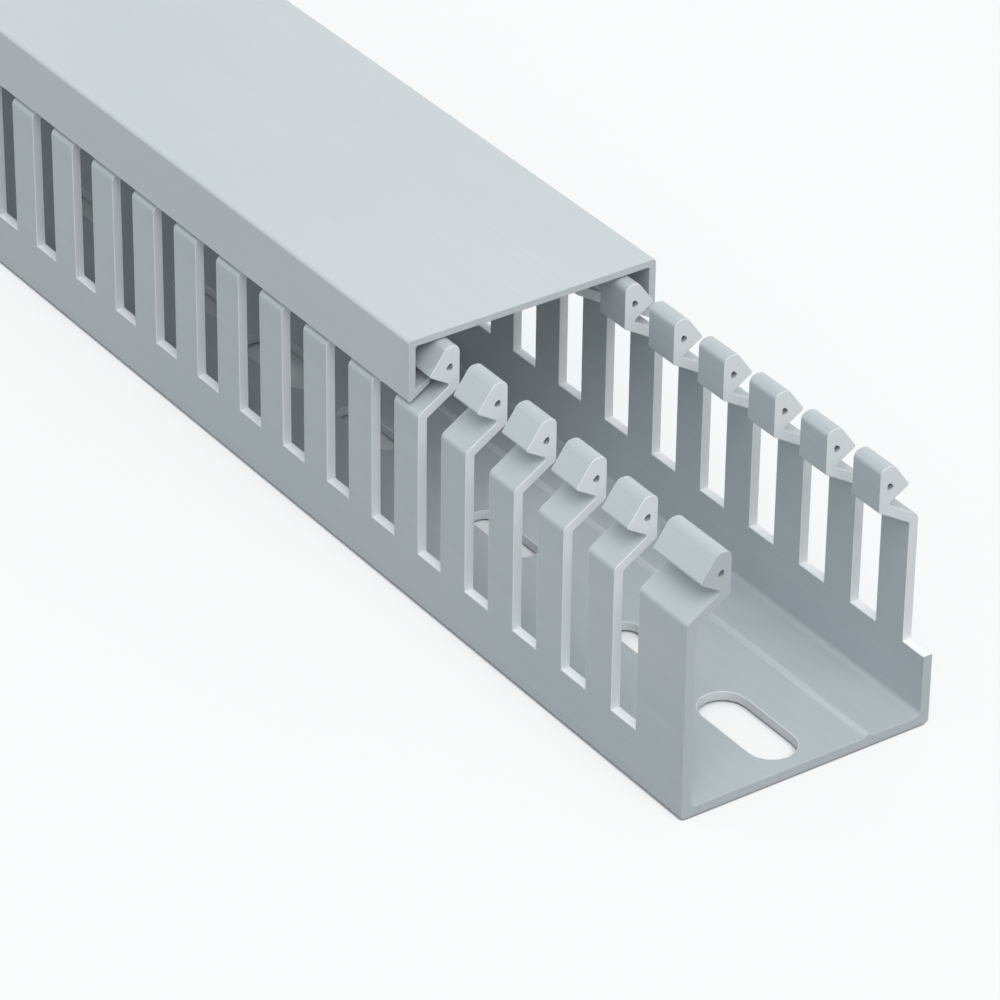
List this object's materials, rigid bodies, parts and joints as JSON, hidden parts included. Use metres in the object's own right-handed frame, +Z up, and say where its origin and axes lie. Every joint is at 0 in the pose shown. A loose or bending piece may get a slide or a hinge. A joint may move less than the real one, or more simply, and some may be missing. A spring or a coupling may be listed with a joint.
{
  "type": "slotted wire duct",
  "caption": "Open-slot plastic wiring duct of near-square section with barbed finger heads, a row of obround fixing slots in its base and a flat clip-fit cover slid back from the front end.",
  "frame": {"origin": "centre of the underside of the duct's base, halfway along the duct", "axes": "+X along the duct towards its front end, where the cover is slid back; +Y towards the right wall as seen from the front end; +Z up, from the base to the cover"},
  "size_m": [1.07, 0.045, 0.045],
  "materials": {
    "duct_pvc": "satin extruded rigid PVC, light grey",
    "cover_pvc": "satin extruded rigid PVC, light grey"
  },
  "bodies": {
    "duct": {"duct": "duct_pvc"},
    "cover": {"cover": "cover_pvc"}
  },
  "joints": [
    {"name": "cover_slide", "type": "slide", "parent": "duct", "child": "cover", "axis": [1, 0, 0], "range_m": [-0.935, 0.07]}
  ]
}
